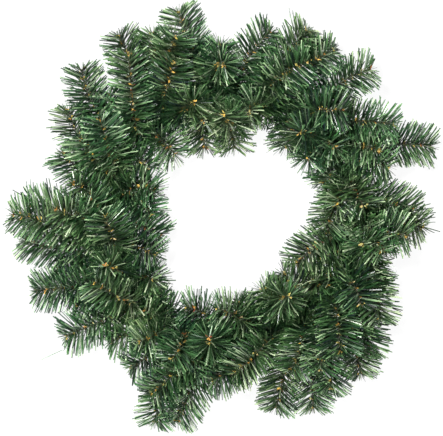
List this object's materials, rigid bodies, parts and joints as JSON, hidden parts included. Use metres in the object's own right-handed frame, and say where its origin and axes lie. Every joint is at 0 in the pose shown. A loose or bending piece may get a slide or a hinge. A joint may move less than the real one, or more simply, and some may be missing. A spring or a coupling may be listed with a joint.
{
  "type": "artificial evergreen wreath",
  "caption": "Evergreen wreath: needle brushes on twisted wire branches wound round a wire ring, with an open middle, lying on its back.",
  "frame": {"origin": "under the middle of the wreath's box, on the surface that it lies on", "axes": "+Z from the wreath's back to its front, +Y towards its top, +X to the right as it is seen from the front"},
  "size_m": [0.549, 0.5446, 0.1091],
  "materials": {
    "ring_wire": "satin",
    "needles": "satin",
    "stem_wire": "satin",
    "bud_scales": "matte"
  },
  "bodies": {
    "root": {"ring_wire": "ring_wire", "branch_01": "needles", "branch_02": "needles", "branch_03": "needles", "branch_04": "needles", "branch_05": "needles", "branch_06": "needles", "branch_07": "needles", "branch_08": "needles", "branch_09": "needles", "branch_10": "needles", "branch_11": "needles", "branch_12": "needles", "branch_13": "needles", "branch_14": "needles", "branch_15": "needles", "branch_16": "needles", "branch_17": "needles", "branch_18": "needles", "branch_19": "needles", "branch_20": "needles", "branch_21": "needles", "branch_22": "needles", "branch_23": "needles", "branch_24": "needles", "branch_25": "needles", "branch_26": "needles", "branch_27": "needles", "branch_28": "needles", "branch_29": "needles", "branch_30": "needles", "branch_31": "needles", "branch_32": "needles", "branch_33": "needles", "branch_34": "needles", "branch_35": "needles", "branch_36": "needles", "branch_37": "needles", "branch_38": "needles", "branch_39": "needles", "branch_40": "needles", "branch_41": "needles", "branch_42": "needles", "branch_43": "needles", "branch_44": "needles", "branch_45": "needles", "branch_46": "needles", "branch_47": "needles", "branch_48": "needles", "branch_49": "needles", "branch_50": "needles", "branch_51": "needles", "branch_52": "needles"}
  },
  "joints": []
}
